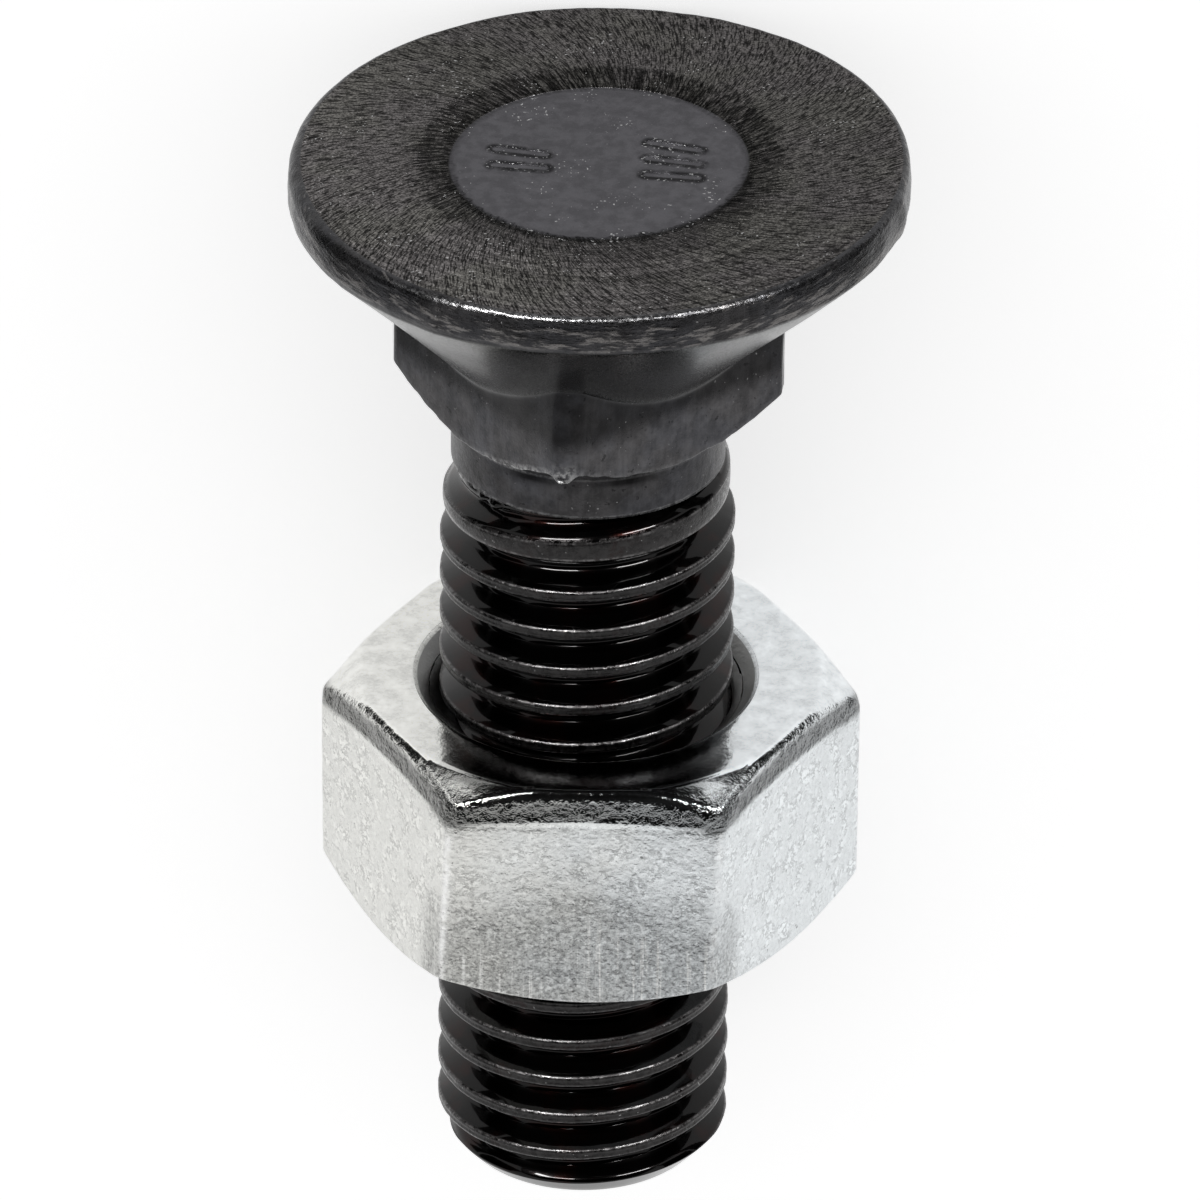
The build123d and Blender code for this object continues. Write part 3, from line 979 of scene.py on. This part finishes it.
# ---- camera, light and floor ----
CAMERA_AIM = 23.44          # station on the axis that the camera was set up on
CAMERA_DISTANCE = 567.5
CAMERA_ELEVATION = math.radians(31.48)      # above the plane square to the axis, head side
CAMERA_TURN = math.radians(-2.1)            # round the axis from the nut's upper flat
CAMERA_ROLL = math.radians(0.53)
CAMERA_LENS = 426.7
AIM_RIGHT = 0.554           # mm that the middle of the frame lies right of and above the aim
AIM_UP = 2.855
STRIP_DISTANCE = 0.5        # the studio's sizes are in metres
STRIP_ELEVATION = 45        # in degrees towards the head
STRIP_HEIGHT = 0.05
FLAG_DISTANCE = 0.7
FLOOR_HALF = 3.0
WORLD_LEVEL = 0.55          # strength of the world where it isn't seen directly
FLOOR_LIFT = 0.6            # glow of the floor where it is


def frame_directions():
    """Unit vectors: to the picture's right, out of it square to the axis, and to the head."""
    head_way = -AXIS
    across = -ACROSS
    up = across.cross(head_way).normalized()
    front = up * math.cos(CAMERA_TURN) - across * math.sin(CAMERA_TURN)
    right = across * math.cos(CAMERA_TURN) + up * math.sin(CAMERA_TURN)
    return right, front, head_way


def camera():
    """The photo's camera: set up on the aim, rolled a little and pointed beside it."""
    front, head_way = frame_directions()[1:]
    target = ORIGIN + AXIS * CAMERA_AIM * MM
    back = front * math.cos(CAMERA_ELEVATION) + head_way * math.sin(CAMERA_ELEVATION)
    place = target + back * CAMERA_DISTANCE * MM
    up = (head_way - back * head_way.dot(back)).normalized()
    side = up.cross(back).normalized()
    image_up = up * math.cos(CAMERA_ROLL) - side * math.sin(CAMERA_ROLL)
    image_right = up * math.sin(CAMERA_ROLL) + side * math.cos(CAMERA_ROLL)
    aim = target + (image_right * AIM_RIGHT + image_up * AIM_UP) * MM
    away = (place - aim).normalized()
    image_right = image_up.cross(away).normalized()
    image_up = away.cross(image_right).normalized()
    data = bpy.data.cameras.new("camera")
    data.lens = CAMERA_LENS
    data.sensor_width = 36
    data.clip_start = 0.01
    data.clip_end = 10
    rotation = Matrix((image_right, image_up, away)).transposed()
    pose = Matrix.Translation(place) @ rotation.to_4x4()
    bpy.context.scene.camera = placed("camera", data, pose)


def facing(azimuth, elevation, distance):
    """A place that looks at the bolt: azimuth to the picture's right, elevation to the head."""
    right, front, head_way = frame_directions()
    azimuth, elevation = math.radians(azimuth), math.radians(elevation)
    level = front * math.cos(azimuth) + right * math.sin(azimuth)
    side = right * math.cos(azimuth) - front * math.sin(azimuth)
    way = level * math.cos(elevation) + head_way * math.sin(elevation)
    place = ORIGIN + AXIS * CAMERA_AIM * MM + way * distance
    rotation = Matrix((side, way.cross(side), way)).transposed()
    return Matrix.Translation(place) @ rotation.to_4x4()


def strip(name, azimuth, width, power, lit):
    """A narrow light that shows in the glossy metal and oil of one piece alone."""
    data = bpy.data.lights.new(name, "AREA")
    data.shape = "RECTANGLE"
    data.size = width
    data.size_y = STRIP_HEIGHT
    data.energy = power
    made = placed(name, data, facing(azimuth, STRIP_ELEVATION, STRIP_DISTANCE))
    made.visible_diffuse = False
    receivers = bpy.data.collections.new(name)
    receivers.objects.link(bpy.data.objects[lit])
    made.light_linking.receiver_collection = receivers


def lying(across, station):
    """Where a card lies on the floor: across to the picture's right, station along the axis."""
    place = ORIGIN + AXIS * station * MM
    return Matrix.Translation((place.x - across * MM, place.y, 0.3 * MM))


def flat_mesh(name, x, y):
    """A rectangle that reaches x and y to either side of its middle, in metres."""
    mesh = bpy.data.meshes.new(name)
    mesh.from_pydata([(-x, -y, 0), (x, -y, 0), (x, y, 0), (-x, y, 0)], [], [(0, 1, 2, 3)])
    return mesh


def flag(name, matrix, width, height):
    """A black card of the studio, which shows in glossy metal alone."""
    mesh = flat_mesh(name, width / 2, height / 2)
    made = placed(name, mesh, matrix)
    made.visible_camera = False
    made.visible_diffuse = False
    made.visible_shadow = False
    made.visible_transmission = False
    material = bpy.data.materials.get("flag") or bpy.data.materials.new("flag")
    material.use_nodes = True
    shader = material.node_tree.nodes["Principled BSDF"]
    shader.inputs["Base Color"].default_value = (0.02, 0.02, 0.02, 1)
    shader.inputs["Specular IOR Level"].default_value = 0.0
    shader.inputs["Roughness"].default_value = 1.0
    mesh.materials.append(material)


def seen_directly(tree):
    """1 for rays from the camera or a reflection, 0 for the rest."""
    rays = new_node(tree, "LightPath").outputs
    kinds = (rays["Is Camera Ray"], rays["Is Glossy Ray"])
    return new_node(tree, "Math", kinds, "MAXIMUM").outputs[0]


def world():
    """White to the camera and in reflections, and a plain level of light otherwise."""
    made = bpy.data.worlds.new("world")
    bpy.context.scene.world = made
    made.use_nodes = True
    tree = made.node_tree
    tree.nodes.clear()
    level = new_node(tree, "MapRange", (seen_directly(tree), 0.0, 1.0, WORLD_LEVEL, 1.0))
    background = new_node(tree, "Background", ((1, 1, 1, 1), level.outputs["Result"]))
    new_node(tree, "OutputWorld", background.outputs)


def floor():
    """A pale floor that shows white and keeps the shadow."""
    mesh = flat_mesh("floor", FLOOR_HALF, FLOOR_HALF)
    made = placed("floor", mesh)
    material = bpy.data.materials.new("floor")
    material.use_nodes = True
    tree = material.node_tree
    tree.nodes.clear()
    lift = new_node(tree, "Math", (seen_directly(tree), FLOOR_LIFT), "MULTIPLY")
    diffuse = new_node(tree, "BsdfDiffuse", ((0.8, 0.8, 0.8, 1),))
    glow = new_node(tree, "Emission", ((1, 1, 1, 1), lift.outputs[0]))
    both = new_node(tree, "AddShader", (diffuse.outputs[0], glow.outputs[0]))
    new_node(tree, "OutputMaterial", both.outputs)
    mesh.materials.append(material)


bolt_paints = [turned_face(), forged_skin(), oiled_thread()]
nut_paints = [zinc_plate(), nut_bore()]
piece("plow_bolt", bolt_skin(), weather_bolt, bolt_paints, "bolt_body", "bolt")
piece("nut", nut_skin(), weather_nut, nut_paints, "nut_body", "hex_nut")
camera()
world()
floor()
for lit, powers in (("plow_bolt", (2.8, 2.3)), ("nut", (0.5, 0.4))):
    strip(f"{lit}_strip_left", -33, 0.24, powers[0], lit)
    strip(f"{lit}_strip_right", 41, 0.2, powers[1], lit)
flag("flag_front", facing(0, 30, FLAG_DISTANCE), 1.6, 1.6)
flag("flag_top", facing(0, 90, FLAG_DISTANCE), 1.2, 1.2)
for side, name in ((-1, "left"), (1, "right")):
    flag(f"flag_{name}", facing(92 * side, 8, FLAG_DISTANCE), 0.87, 0.74)
    flag(f"card_{name}", lying(98 * side, -52), 0.12, 0.176)
bpy.context.scene.view_settings.view_transform = "Standard"
